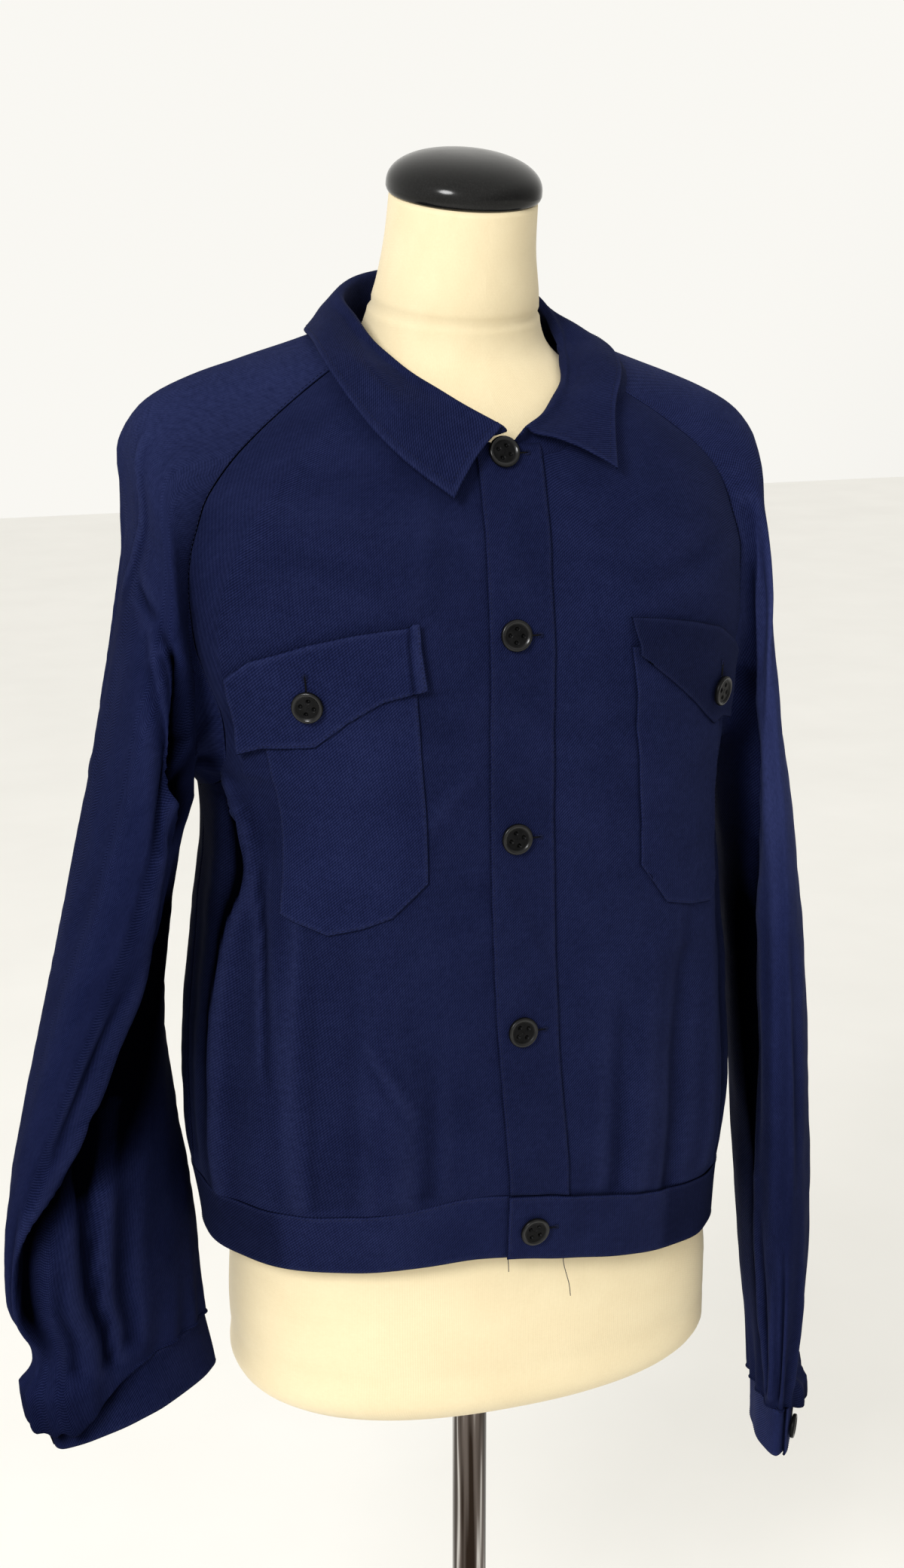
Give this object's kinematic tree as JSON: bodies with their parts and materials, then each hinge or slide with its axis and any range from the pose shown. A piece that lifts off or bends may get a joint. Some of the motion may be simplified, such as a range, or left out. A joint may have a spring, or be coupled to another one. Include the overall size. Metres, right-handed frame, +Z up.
{
  "type": "work jacket on a dress form",
  "caption": "Navy twill work jacket with raglan sleeves, fall collar, flap chest pockets and a buttoned waistband, worn by a cream dress form on a pole and round base.",
  "frame": {"origin": "on the floor, in the middle of the base plate's underside, on the pole's axis", "axes": "+Z up, +X towards the wearer's left, -Y towards the jacket's front"},
  "size_m": [0.6045, 0.34, 1.4695],
  "materials": {
    "navy_twill": "matt cotton twill",
    "button_black": "polished plastic",
    "form_jersey": "cream jersey over a hard form",
    "cap_black": "gloss black lacquer",
    "pole_chrome": "bright chrome",
    "base_metal": "satin black paint"
  },
  "bodies": {
    "root": {"front_right": "navy_twill", "front_left": "navy_twill", "back": "navy_twill", "sleeve_right": "navy_twill", "sleeve_left": "navy_twill", "placket": "navy_twill", "collar": "navy_twill", "waistband": "navy_twill", "cuff_right": "navy_twill", "cuff_left": "navy_twill", "pocket_right": "navy_twill", "pocket_left": "navy_twill", "flap_right": "navy_twill", "flap_left": "navy_twill", "button_front_1": "button_black", "button_front_2": "button_black", "button_front_3": "button_black", "button_front_4": "button_black", "button_front_5": "button_black", "button_flap_right": "button_black", "button_flap_left": "button_black", "button_cuff_right": "button_black", "button_cuff_left": "button_black", "form_body": "form_jersey", "neck_cap": "cap_black", "pole": "pole_chrome", "base": "base_metal"}
  },
  "joints": []
}
